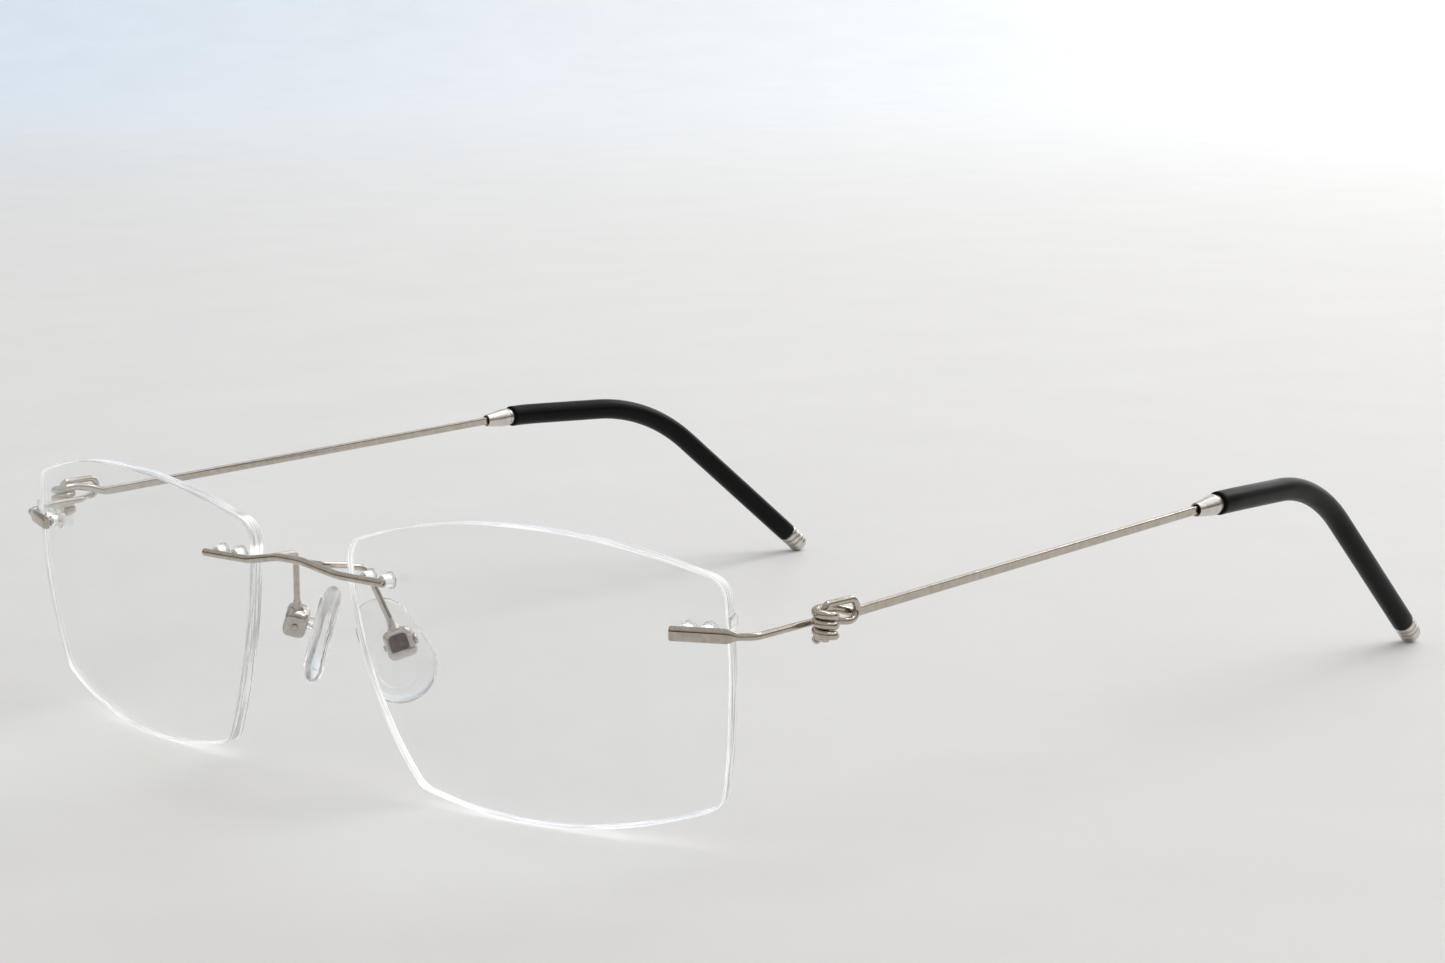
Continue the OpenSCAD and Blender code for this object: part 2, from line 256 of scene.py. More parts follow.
def skin_faces(n, m):
    """Quads between n rings of m points, and a cap on each end."""
    faces = [
        (i * m + (k + 1) % m, i * m + k, (i + 1) * m + k, (i + 1) * m + (k + 1) % m)
        for i in range(n - 1)
        for k in range(m)
    ]
    return faces + [tuple(range(m)), tuple(reversed(range((n - 1) * m, n * m)))]


def turned(profile, at, direction, sides=64):
    """Shape turned on a lathe: (radius, distance) pairs along direction from at. Both ends are closed."""
    d = unit(direction)
    points = [np.asarray(at, float) + z * d for _, z in profile]
    return straight(points, [round_section(r, sides) for r, _ in profile], d)


def joined(*shapes):
    """Several (points, faces, grain) shapes as one."""
    points, faces, grain, start = [], [], [], 0
    for p, f, g in shapes:
        points.append(p)
        faces += [tuple(start + i for i in face) for face in f]
        grain += list(g)
        start += len(p)
    return np.concatenate(points), faces, grain


def to_mesh(name, shape, side=1):
    """A mesh in mm, mirrored for the right side. Its UV layer holds the shape's (round, along) pairs."""
    points, faces, grain = shape
    points = np.array(points) * (side, 1, 1)
    if side < 0:
        faces = [tuple(reversed(f)) for f in faces]
    mesh = bpy.data.meshes.new(name)
    mesh.from_pydata(points.tolist(), [], faces)
    layer = mesh.uv_layers.new(name="grain")
    corners = np.zeros(len(mesh.loops), np.int32)
    mesh.loops.foreach_get("vertex_index", corners)
    layer.data.foreach_set("uv", np.asarray(grain, np.float32)[corners].ravel())
    return mesh


def to_object(name, mesh):
    o = bpy.data.objects.new(name, mesh)
    bpy.context.scene.collection.objects.link(o)
    return o


def applied(o):
    """Replaces the object's mesh with the result of its modifiers."""
    graph = bpy.context.evaluated_depsgraph_get()
    mesh = bpy.data.meshes.new_from_object(o.evaluated_get(graph))
    o.modifiers.clear()
    o.data = mesh
    return o


def cut(o, cutters, keep_material=False):
    """Subtracts the cutters from the object, and removes them."""
    for c in cutters:
        m = o.modifiers.new("cut", "BOOLEAN")
        m.operation = "DIFFERENCE"
        m.solver = "EXACT"
        m.object = c
        if keep_material:
            m.material_mode = "TRANSFER"
    applied(o)
    for c in cutters:
        bpy.data.objects.remove(c)
    return o


def finish_piece(o, body, slot, material=None, sharp=40, replaces=()):
    """Moves a piece made in mm to its place in the row frame, shades it and hides the CAD parts it stands
    for.
    """
    mesh = o.data
    mesh.transform(Matrix.Scale(MM, 4) @ Matrix.Translation(Vector(ORIGIN)))
    if material is not None:
        mesh.materials.clear()
        mesh.materials.append(material)
    mesh.set_sharp_from_angle(angle=math.radians(sharp))
    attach(o, body)
    if replaces:
        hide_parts(*replaces)
    return o


def piece(name, shape, side, body, slot, material, sharp=40, replaces=()):
    o = to_object(name, to_mesh(name, shape, side))
    return finish_piece(o, body, slot, material, sharp, replaces)


# Ends and directions that several pieces share
BRIDGE_END = np.array(BRIDGE_HALF[2], float)
BRIDGE_IN = unit(np.subtract(BRIDGE_HALF[1], BRIDGE_HALF[2]))
STRIP_DIR = unit(SLEEVE_START - STRIP_START)


# ---------------------------------------------------------------- materials

class Shader:
    """A material under construction: its Principled node and short ways to add the nodes that drive it."""

    def __init__(self, name, **values):
        self.material = bpy.data.materials.new(name)
        self.material.use_nodes = True
        self.tree = self.material.node_tree
        self.main = self.tree.nodes["Principled BSDF"]
        self.out = self.tree.nodes["Material Output"]
        for key, value in values.items():
            self.main.inputs[key.replace("_", " ")].default_value = value

    def node(self, kind, links=None, **settings):
        n = self.tree.nodes.new(kind)
        for key, value in settings.items():
            setattr(n, key, value)
        for key, value in (links or {}).items():
            if isinstance(value, bpy.types.NodeSocket):
                self.tree.links.new(value, n.inputs[key])
            else:
                n.inputs[key].default_value = value
        return n

    def place(self, scale, grain=False):
        """Coordinates in mm times scale, from the object or from the wire's own length and girth."""
        if grain:
            source = self.node("ShaderNodeUVMap", uv_map="grain").outputs["UV"]
        else:
            source = self.node("ShaderNodeTexCoord").outputs["Object"]
        factor = 1 if grain else 1 / MM
        links = {"Vector": source, "Scale": tuple(factor * s for s in scale)}
        return self.node("ShaderNodeMapping", links).outputs["Vector"]

    def noise(self, where, scale=1.0, detail=3.0, rough=0.55):
        links = {"Vector": where, "Scale": scale, "Detail": detail, "Roughness": rough}
        return self.node("ShaderNodeTexNoise", links).outputs["Fac"]

    def spread(self, value, low, high, start=0.3, stop=0.7):
        """Value, stretched from start..stop to low..high."""
        ends = {"From Min": start, "From Max": stop, "To Min": low, "To Max": high}
        return self.node("ShaderNodeMapRange", {"Value": value, **ends}).outputs["Result"]

    def ramp(self, value, low, high, start=0.3, stop=0.7):
        """Colours from low to high as value goes from start to stop."""
        n = self.node("ShaderNodeValToRGB", {"Fac": value})
        first, last = n.color_ramp.elements
        first.position, last.position = start, stop
        first.color, last.color = (*low, 1), (*high, 1)
        return n.outputs["Color"]

    def bump(self, height, depth_mm, strength=1.0, under=None):
        links = {"Height": height, "Distance": depth_mm * MM, "Strength": strength}
        if under is not None:
            links["Normal"] = under
        return self.node("ShaderNodeBump", links).outputs["Normal"]

    def wear(self, **sockets):
        for key, value in sockets.items():
            self.tree.links.new(value, self.main.inputs[key.replace("_", " ")])
        return self

    def let_lamps_through(self, tint):
        """Lets lamp light past this glass with only a faint shadow, as a thin clear lens does."""
        clear = self.node("ShaderNodeBsdfTransparent", {"Color": (*tint, 1)})
        path = self.node("ShaderNodeLightPath")
        lamp = path.outputs["Is Shadow Ray"]
        mix = self.node("ShaderNodeMixShader", {0: lamp, 1: self.main.outputs[0]})
        self.tree.links.new(clear.outputs[0], mix.inputs[2])
        self.tree.links.new(mix.outputs[0], self.out.inputs["Surface"])
        return self


def lens_glass():
    """Polished lens plastic with a thin coating, and the faintest wiping marks."""
    s = Shader("lens_glass", Base_Color=(0.985, 0.995, 0.99, 1), IOR=1.53, Transmission_Weight=1.0)
    smear = s.noise(s.place((0.12, 0.12, 0.35)), 1.0, 5)
    s.wear(
        Roughness=s.spread(smear, 0.0, 0.012),
        Base_Color=s.ramp(smear, (0.975, 0.99, 0.985), (0.992, 0.998, 0.995)),
    )
    return s.let_lamps_through((0.95, 0.965, 0.96)).material


def edge_glass():
    """Ground and buffed edge, with wheel marks along it. Its glow stands for light led through the lens."""
    s = Shader("lens_edge", IOR=1.53, Transmission_Weight=0.5, Emission_Strength=0.4)
    marks = s.noise(s.place((4, 0.12, 0), grain=True), 1.0, 4, 0.6)
    s.wear(
        # painted glow: emission, brighter in streaks along the wheel marks, stands for light led through
        # the lens
        Emission_Color=s.ramp(marks, (0.3, 0.305, 0.31), (1, 1, 1), 0.4, 0.58),
        Roughness=s.spread(marks, 0.15, 0.35),
        Base_Color=s.ramp(marks, (0.93, 0.94, 0.94), (1, 1, 1)),
        Normal=s.bump(marks, 0.015, 0.5),
    )
    return s.let_lamps_through((0.97, 0.975, 0.97)).material


def clear_plastic(name, ior, clear, rough, lump):
    """Moulded clear plastic: slightly uneven and a little milky, with a soft gloss."""
    s = Shader(name, IOR=ior, Transmission_Weight=clear)
    flow = s.noise(s.place((0.8, 0.8, 0.8)), 1.0, 3)
    skin = s.noise(s.place((6, 6, 6)), 1.0, 2)
    s.wear(
        Roughness=s.spread(flow, rough * 0.5, rough * 1.5),
        Base_Color=s.ramp(flow, (0.95, 0.955, 0.95), (1, 1, 1)),
        Normal=s.bump(skin, 0.02, lump, s.bump(flow, 0.12, lump)),
    )
    return s.let_lamps_through((0.95, 0.955, 0.95)).material


def polished_wire():
    """Warm grey titanium, drawn and polished: faint streaks along the wire and small handling marks."""
    s = Shader("polished_wire", Metallic=1.0)
    streaks = s.noise(s.place((9, 0.12, 0), grain=True), 1.0, 4, 0.6)
    marks = s.noise(s.place((1.1, 1.1, 1.1)), 1.0, 6, 0.7)
    s.wear(
        Base_Color=s.ramp(marks, (0.44, 0.395, 0.345), (0.6, 0.545, 0.485)),
        Roughness=s.spread(streaks, 0.04, 0.1),
        Normal=s.bump(streaks, 0.006, 0.35, s.bump(marks, 0.01, 0.25)),
    )
    return s.material


def cast_metal():
    """Small cast and tumbled parts: softer gloss, with a slightly uneven skin."""
    s = Shader("cast_metal", Metallic=1.0)
    skin = s.noise(s.place((1.6, 1.6, 1.6)), 1.0, 4)
    grain = s.noise(s.place((14, 14, 14)), 1.0, 2)
    s.wear(
        Base_Color=s.ramp(skin, (0.46, 0.42, 0.40), (0.62, 0.575, 0.55)),
        Roughness=s.spread(skin, 0.14, 0.3),
        Normal=s.bump(grain, 0.008, 0.4, s.bump(skin, 0.06, 0.4)),
    )
    return s.material


def recess_shade():
    """Unpolished inside of the pad box, painted dark purple as the shade that fills its recess."""
    s = Shader("recess_shade", Specular_IOR_Level=0.15)
    shade_mottle = s.noise(s.place((1.8, 1.8, 1.8)), 1.0, 5)
    s.wear(
        # painted shade: the inside faces are coloured dark where shadow falls in the recess
        Base_Color=s.ramp(shade_mottle, (0.03, 0.006, 0.011), (0.17, 0.05, 0.07)),
        Roughness=s.spread(shade_mottle, 0.3, 0.5),
        Normal=s.bump(shade_mottle, 0.2, 1.0),
    )
    return s.material


def turned_metal():
    """Satin turned metal, with fine tool marks around it."""
    s = Shader("turned_metal", Metallic=1.0)
    rings = s.noise(s.place((0.05, 14, 0), grain=True), 1.0, 3, 0.6)
    tone = s.noise(s.place((0.7, 0.7, 0.7)), 1.0, 3)
    s.wear(
        Base_Color=s.ramp(tone, (0.60, 0.57, 0.535), (0.74, 0.71, 0.675)),
        Roughness=s.spread(rings, 0.16, 0.34),
        Normal=s.bump(rings, 0.008, 0.5),
    )
    return s.material


def black_rubber():
    """Satin black sleeve: a fine grain, and a few rubbed places that shine a little more."""
    s = Shader("black_rubber", Specular_IOR_Level=0.1)
    grain = s.noise(s.place((7, 7, 7)), 1.0, 3, 0.6)
    rubbed = s.noise(s.place((0.25, 0.08, 0.25)), 1.0, 4)
    s.wear(
        Base_Color=s.ramp(grain, (0.002, 0.002, 0.0021), (0.007, 0.007, 0.0068)),
        Roughness=s.spread(rubbed, 0.28, 0.4),
        Normal=s.bump(grain, 0.012, 0.45),
    )
    return s.material


LENS = lens_glass()
LENS_EDGE = edge_glass()
BUSH = clear_plastic("bush_plastic", 1.49, 0.8, 0.08, 0.35)
SILICONE = clear_plastic("pad_silicone", 1.36, 0.92, 0.1, 0.25)
WIRE = polished_wire()
CAST = cast_metal()
RECESS_SHADE = recess_shade()
TURNED = turned_metal()
RUBBER = black_rubber()


# ---------------------------------------------------------------- lenses

def corner_of(a, b, near):
    """Where the circles a and b, each (centre, radius), cross nearest to a point."""
    (ca, ra), (cb, rb) = a, b
    d = np.linalg.norm(cb - ca)
    t = (ra * ra - rb * rb + d * d) / (2 * d)
    h = math.sqrt(ra * ra - t * t)
    e = (cb - ca) / d
    both = [ca + t * e + s * h * np.array([-e[1], e[0]]) for s in (-1, 1)]
    return min(both, key=lambda p: np.linalg.norm(p - near))


def lens_outline(inset):
    """The lens's outline seen along its axis, counter-clockwise from the nasal lower corner.

    Four large arcs are joined by round corners.
    """
    edges = [
        (np.array([-2, LOW_R - LENS_H / 2]), LOW_R),
        (np.array([LENS_W / 2 - OUTER_R, 6.5]), OUTER_R),
        (np.array([0, LENS_H / 2 - TOP_R]), TOP_R),
        (np.array([NASAL_R - LENS_W / 2 - 0.7, 15.1]), NASAL_R),
    ]
    eroded = [(c, r - LENS_CORNER) for c, r in edges]
    guesses = [(-25, -15), (25, -15), (25, 12), (-25, 15)]
    corners = [corner_of(eroded[i - 1], eroded[i], np.array(guesses[i])) for i in range(4)]
    points = []
    for i, (centre, r) in enumerate(edges):
        start, stop = corners[i] - centre, corners[(i + 1) % 4] - centre
        a0 = math.atan2(start[1], start[0])
        a1 = math.atan2(stop[1], stop[0])
        a1 += 2 * math.pi if a1 < a0 else 0
        for a in np.linspace(a0, a1, 44):
            points.append(centre + (r - inset) * np.array([math.cos(a), math.sin(a)]))
        corner = corners[(i + 1) % 4]
        turn = corner - edges[(i + 1) % 4][0]
        a2 = math.atan2(turn[1], turn[0])
        a2 += 2 * math.pi if a2 < a1 - math.pi else 0
        for a in np.linspace(a1, a2, 16)[1:-1]:
            points.append(corner + (LENS_CORNER - inset) * np.array([math.cos(a), math.sin(a)]))
    return np.array(points)


def on_sphere(flat, depth):
    """Points of the outline's plane, carried along the sphere's radii to depth behind the lens's front."""
    d = np.stack([flat[:, 0], np.full(len(flat), EDGE_SAG - LENS_CURVE), flat[:, 1]], 1)
    d /= np.linalg.norm(d, axis=1, keepdims=True)
    return np.array([0, LENS_CURVE, 0]) + (LENS_CURVE - depth) * d


def lens_place(points):
    """From the lens's own frame, X outward, Y back and Z up, to the glasses."""
    turn = Matrix.Rotation(WRAP, 3, "Z") @ Matrix.Rotation(PANTO, 3, "X")
    return np.asarray(points) @ np.array(turn).T + np.array([LENS_X, 0, 0])


def make_lens(name, side):
    """A curved lens with a bevelled edge, drilled for its bushes."""
    rim, inner = lens_outline(0.0), lens_outline(EDGE_BEVEL)
    shares = (1, 0.985, 0.95, 0.88, 0.76, 0.6, 0.42, 0.24, 0.08)
    front = [on_sphere(inner * s, 0.0) for s in reversed(shares)]
    wall = [on_sphere(rim, d) for d in (EDGE_BEVEL, LENS_T / 2, LENS_T - EDGE_BEVEL)]
    back = [on_sphere(inner * s, LENS_T) for s in shares]
    rings = [lens_place(r) for r in front + wall + back]
    m = len(rim)
    ring_step = 0.8
    step = np.linalg.norm(np.roll(rim, -1, 0) - rim, axis=1)
    along = np.concatenate([[0], np.cumsum(step)[:-1]])
    grain = [(i * ring_step, along[k]) for i in range(len(rings)) for k in range(m)]
    faces = [tuple(reversed(f)) for f in skin_faces(len(rings), m)]
    o = to_object(name, to_mesh(name, (np.concatenate(rings), faces, grain), side))
    o.data.materials.append(LENS)
    o.data.materials.append(LENS_EDGE)
    first, last = len(front) - 1, len(front) + len(wall)
    for i, face in enumerate(o.data.polygons):
        face.material_index = int(first * m <= i < last * m)
    drills = []
    drill_r, drill_from, drill_to = BUSH_R + 0.04, -6, 12
    for spot, turn in bush_places():
        hole = turned([(drill_r, drill_from), (drill_r, drill_to)], spot, hole_direction(turn), 32)
        drill = to_object("drill", to_mesh("drill", hole, side))
        drill.data.materials.append(LENS)
        drill.data.materials.append(LENS_EDGE)
        # the holes' walls take the edge glass too, with its painted glow
        for face in drill.data.polygons:
            face.material_index = 1
        drills.append(drill)
    return cut(o, drills)


def hole_direction(turn):
    """Straight back through the lens, turned towards its normal."""
    return np.array([-math.sin(turn), math.cos(turn), 0])


def bush_spots(bushes, start, direction):
    return [start + d * direction for d in bushes["at"]]


def bush_places():
    """(place on the wire, turn of the hole) for each of a lens's four holes."""
    inner = bush_spots(BRIDGE_BUSHES, BRIDGE_END, BRIDGE_IN)
    outer = bush_spots(TEMPLE_BUSHES, BAR_START, BAR_DIR)
    return [(p, BRIDGE_BUSHES["turn"]) for p in inner] + [(p, TEMPLE_BUSHES["turn"]) for p in outer]


def bush_shape(spot, bushes):
    """Clear bush: a rounded head behind the lens, a thin flange in front, and a bore for the post."""
    back, bore = bushes["back"], POST_R + 0.03
    profile = [
        (bore, BUSH_FRONT), (BUSH_R - 0.06, BUSH_FRONT), (BUSH_R, BUSH_FRONT + 0.06),
        (BUSH_R, back), (BUSH_HEAD_R - 0.05, back), (BUSH_HEAD_R, back + 0.05),
        (BUSH_HEAD_R, back + 0.18), (BUSH_HEAD_R - 0.12, back + BUSH_HEAD_T), (bore, back + BUSH_HEAD_T),
    ]
    return ring_turned(profile, spot, hole_direction(bushes["turn"]), 40)


def ring_turned(profile, at, direction, sides):
    """Turned shape with a bore: the profile is a closed loop of (radius, distance) pairs."""
    points, faces, grain = turned(profile, at, direction, sides)
    m, n = sides, len(profile)
    faces = faces[:-2] + [
        ((n - 1) * m + (k + 1) % m, (n - 1) * m + k, k, (k + 1) % m) for k in range(m)
    ]
    return points, faces, grain


def post_shape(spot, bushes):
    """Metal post with a small riveted head that holds the bush."""
    end = bushes["back"] + BUSH_HEAD_T - 0.1
    d = hole_direction(bushes["turn"])
    profile = [
        (POST_R * 0.6, -0.1), (POST_R, 0), (POST_R, end - 0.1), (POST_R * 0.8, end), (0.05, end + 0.02),
    ]
    return turned(profile, spot, d, 24)


def seat_shape():
    """Small clear block on the lens's outer edge, above the bar."""
    half_t, half_l, half_h = SEAT_HALF
    stations = [(-1, 0.82), (-0.95, 0.96), (-0.85, 1), (0.85, 1), (0.95, 0.96), (1, 0.82)]
    direction = hole_direction(SEAT_TURN)
    points = [SEAT_AT + half_l * y * direction for y, _ in stations]
    sections = [box_section(half_t * s, half_h * s, 0.1 * s, 24) for _, s in stations]
    p, f, g = straight(points, sections, direction)
    return lens_place(p), f, g


# ---------------------------------------------------------------- front

def bridge_shape():
    """Arched bridge wire, straight along each lens, with its cut ends dimpled."""
    route = rounded_route(mirrored_route(BRIDGE_HALF), [8, 8, 8, 8], 2.5)
    return wire(route, BRIDGE_R, 32, 0.09, dimple=True)


def yoke_shape():
    """U-shaped wire that carries both pad boxes."""
    return wire(rounded_route(mirrored_route(ARM_HALF), [1.5, 1.4, 1.4, 1.5], 6), ARM_R, 28, 0.05)


def solder_shape():
    """Fillet of solder that fills the corner between the bridge and the pad arm wire."""
    middle = np.array([4.1, -2.55, 10.17])
    along = unit(np.subtract(BRIDGE_HALF[1], BRIDGE_HALF[0]))
    stations = [(-1.0, 0.04), (-0.9, 0.16), (-0.6, 0.27), (0, 0.33), (0.6, 0.27), (0.9, 0.16), (1.0, 0.04)]
    points = [middle + 1.25 * t * along for t, _ in stations]
    sections = [box_section(1.1 * s, 0.9 * s, 0.88 * s, 24) for _, s in stations]
    return straight(points, sections, along)


def bar_section(half_w, half_h, ease, n):
    """The bar's half-round top and squarer bottom, which turn into round wire as ease goes from 0 to 1."""
    low = min(half_w, BAR_CORNER + ease * (END_R - BAR_CORNER))
    crown = min(half_h, BAR_CROWN + ease * (END_R - BAR_CROWN))
    return box_section(half_w, half_h, low, n, (half_w, crown))


def end_piece_shape():
    """Flat bar on the lens, taper to round wire, sweep back to the hinge, stop eye and pin."""
    eye_x, eye_back = HINGE[0] + 0.05, HINGE[1] + 4.1
    bar_end = BAR_START + BAR_L * BAR_DIR
    round_start = bar_end + TAPER_L * BAR_DIR
    corners = [
        round_start - 0.4 * BAR_DIR, (66.9, 7.2, 7.9), (67.4, 13.2, 8.2), (67.4, 17, 8.25),
        (eye_x, eye_back - 0.4, EYE_LOW), (eye_x, eye_back + 1.2, EYE_LOW),
        (eye_x, eye_back + 1.2, EYE_TOP), (HINGE[0], HINGE[1], EYE_TOP), (HINGE[0], HINGE[1], PIN_LOW),
    ]
    route = list(rounded_route(corners, [1.6, 3, 1.2, 1, 1.15, 1.15, 0.6], 6))[1:-1]
    sides, rise = 40, np.array([0, 0, 0.1])
    flat = [(0.03, 0.1, 0.0), (0.55, 0.6, 0.0), (0.8, 0.88, 0.0), (0.93, 0.965, 0.06), (1, 1, 0.16)]
    points = [BAR_START + d * BAR_DIR for _, _, d in flat]
    sections = [bar_section(BAR_T / 2 * w, BAR_H / 2 * h, 0.0, sides) for w, h, _ in flat]
    for share in (0.0, 0.12, 0.3, 0.5, 0.7, 0.88, 1.0):
        ease = share * share * (3 - 2 * share)
        points.append(bar_end + share * (round_start - bar_end) + ease * (1 - ease) * rise)
        half_w = BAR_T / 2 + ease * (END_R - BAR_T / 2)
        half_h = BAR_H / 2 + ease * (END_R - BAR_H / 2)
        sections.append(bar_section(half_w, half_h, ease, sides))
    points += route
    sections += [box_section(END_R, END_R, END_R, sides)] * len(route)
    pin_end = np.array([HINGE[0], HINGE[1], PIN_LOW])
    tail = end_rings(END_R, 0.1, False)
    points += [pin_end + (0, 0, d) for _, d in reversed(tail)]
    sections += [box_section(r, r, r, sides) for r, _ in reversed(tail)]
    return sweep(points, sections, BAR_DIR, -UP, len(flat), len(tail))


# ---------------------------------------------------------------- nose pads

def pad_place(points):
    """From the pad's own frame, X along its screw, Y to the nose and Z up the pad, to the glasses."""
    rx, ry, rz = PAD_TURN
    turn = Matrix.Rotation(rz, 3, "Z") @ Matrix.Rotation(ry, 3, "Y") @ Matrix.Rotation(rx, 3, "X")
    return np.asarray(points) @ np.array(turn).T + PAD_PIVOT


def placed(shape, place):
    points, faces, grain = shape
    return place(points), faces, grain


def make_pad_box(name, side):
    """Cast box with a neck that the arm runs into, cut through by the slot and the screw's hole."""
    x, y, z = BOX_SIZE
    half = [(0.35, 1), (0.62, 0.97), (0.82, 0.88), (0.94, 0.72), (1, 0.5)]
    stations = [(-t, s) for t, s in reversed(half)] + half
    points = [np.array([0, y / 2 * t, 0]) for t, _ in stations]
    sections = [box_section(x / 2 * s, z / 2 * s, BOX_CORNER * s, 48) for _, s in stations]
    block = placed(straight(points, sections, NOSEWARD), pad_place)
    arm_end, arm_corner = np.array(ARM_HALF[2], float), np.array(ARM_HALF[1], float)
    up = unit(arm_corner - arm_end)
    flare = [(1.5, -1.3), (1.45, -0.9), (1.1, -0.3), (0.72, 0.3), (0.52, 0.9), (0.42, 1.5), (0.3, 1.6)]
    neck = turned(flare, arm_end, up, 32)
    o = to_object(name, to_mesh(name, joined(block, neck), side))
    melt = o.modifiers.new("melt", "REMESH")
    melt.mode = "VOXEL"
    melt.voxel_size = 0.1
    soften = o.modifiers.new("soften", "SMOOTH")
    soften.factor = 0.5
    soften.iterations = 5
    applied(o)
    o.data.materials.clear()
    o.data.materials.append(CAST)
    o.data.materials.append(RECESS_SHADE)
    front = box_section(FRONT_SLOT_W / 2, FRONT_SLOT_H / 2, 0.6, 32)
    rear = box_section(SLOT_W / 2, SLOT_H / 2, 0.35, 32)
    slots = [
        straight([start * NOSEWARD, stop * NOSEWARD], [section] * 2, NOSEWARD)
        for start, stop, section in ((-y, -0.75, front), (-0.55, y, rear))
    ]
    hole_r = SCREW_R + 0.02
    hole = turned([(hole_r, -x), (hole_r, x)], (0, 0, 0), (1, 0, 0), 24)
    cutters = []
    for shape in (*slots, hole):
        c = to_object("cutter", to_mesh("cutter", placed(shape, pad_place), side))
        # the cut faces inside the slots and the screw's hole take the painted recess shade
        c.data.materials.append(RECESS_SHADE)
        cutters.append(c)
    return cut(o, cutters, keep_material=True)


def screw_shape():
    """Pivot screw: a domed head on the outer side, its plain end on the inner side."""
    x = BOX_SIZE[0] / 2
    profile = [
        (0.1, -x - 0.25), (SCREW_R - 0.1, -x - 0.25), (SCREW_R, -x - 0.15), (SCREW_R, x - 0.02), (0.62, x),
        (0.7, x + 0.08), (0.7, x + 0.22), (0.6, x + 0.34), (0.4, x + 0.4), (0.1, x + 0.42),
    ]
    return placed(turned(profile, (0, 0, 0), (1, 0, 0), 32), pad_place)


def make_screw(name, side):
    """The screw with a blade slot across its head."""
    o = to_object(name, to_mesh(name, screw_shape(), side))
    blade = straight(
        [np.array([BOX_SIZE[0] / 2 + t, 0, 0]) for t in (0.22, 1.0)],
        [box_section(0.9, 0.1, 0.04, 16)] * 2,
        np.array([1.0, 0, 0]),
    )
    return cut(o, [to_object("blade", to_mesh("blade", placed(blade, pad_place), side))])


def lug_shape():
    """Clear lug: round about the screw, with a neck that widens to an oval plate inside the pad."""
    end = PAD_AT[1] + 0.3
    stations = [
        (-0.45, 0.4, 0.3), (-0.35, 0.62, 0.46), (0.0, 0.76, 0.58), (0.5, 0.78, 0.6),
        (1.0, 0.8, 0.52), (1.5, 0.88, 0.5), (end, 0.88, 0.5),
    ]
    points = [np.array([0, t, 0]) for t, _, _ in stations]
    sections = [box_section(w, h, min(w, h) * 0.6, 32) for _, w, h in stations]
    return placed(straight(points, sections, NOSEWARD), pad_place)


def egg(inset, n=72):
    """Pad outline, wider below: two round ends joined by straight sides, moved inwards by inset."""
    top_at, low_at = PAD_L / 2 - PAD_TOP_R, PAD_LOW_R - PAD_L / 2
    lean = math.asin((PAD_LOW_R - PAD_TOP_R) / (top_at - low_at))
    half = n // 2
    points = []
    for a in np.linspace(lean, math.pi - lean, half):
        points.append(((PAD_TOP_R - inset) * math.cos(a), top_at + (PAD_TOP_R - inset) * math.sin(a)))
    for a in np.linspace(math.pi - lean, 2 * math.pi + lean, half):
        points.append(((PAD_LOW_R - inset) * math.cos(a), low_at + (PAD_LOW_R - inset) * math.sin(a)))
    return np.array(points)


def pad_shape():
    """Silicone pad: a flat raised core on the back in a shallow groove, a full rim and a domed front."""
    profile = [
        (3.6, 0.22), (2.5, 0.2), (2.25, 0.14), (2.12, 0.02), (1.9, 0.0), (1.76, 0.1), (1.7, 0.26),
        (1.35, 0.3), (0.95, 0.36), (0.6, 0.5), (0.28, 0.76), (0.08, 1.1), (0.0, 1.42),
        (0.06, 1.74), (0.24, 2.08), (0.55, 2.36), (1.0, 2.54), (1.7, 2.65), (2.6, 2.69), (3.6, 2.7),
    ]
    rings, grain = [], []
    for inset, depth in profile:
        o = egg(inset)
        rings.append(np.stack([o[:, 0], np.full(len(o), depth), o[:, 1]], 1))
        grain += [(inset, k * 0.5) for k in range(len(o))]
    m = len(rings[0])
    faces = skin_faces(len(rings), m)
    splay = np.array(Matrix.Rotation(PAD_SPLAY, 3, "Y"))
    points = np.concatenate(rings) @ splay.T + PAD_AT
    return pad_place(points), faces, grain


# ---------------------------------------------------------------- temples

def coil_point(a):
    """The coil's centre line after a turns."""
    turn = 2 * math.pi * a
    return np.array([
        HINGE[0] - COIL_R * math.cos(turn), HINGE[1] - COIL_R * math.sin(turn), COIL_TOP - COIL_PITCH * a
    ])


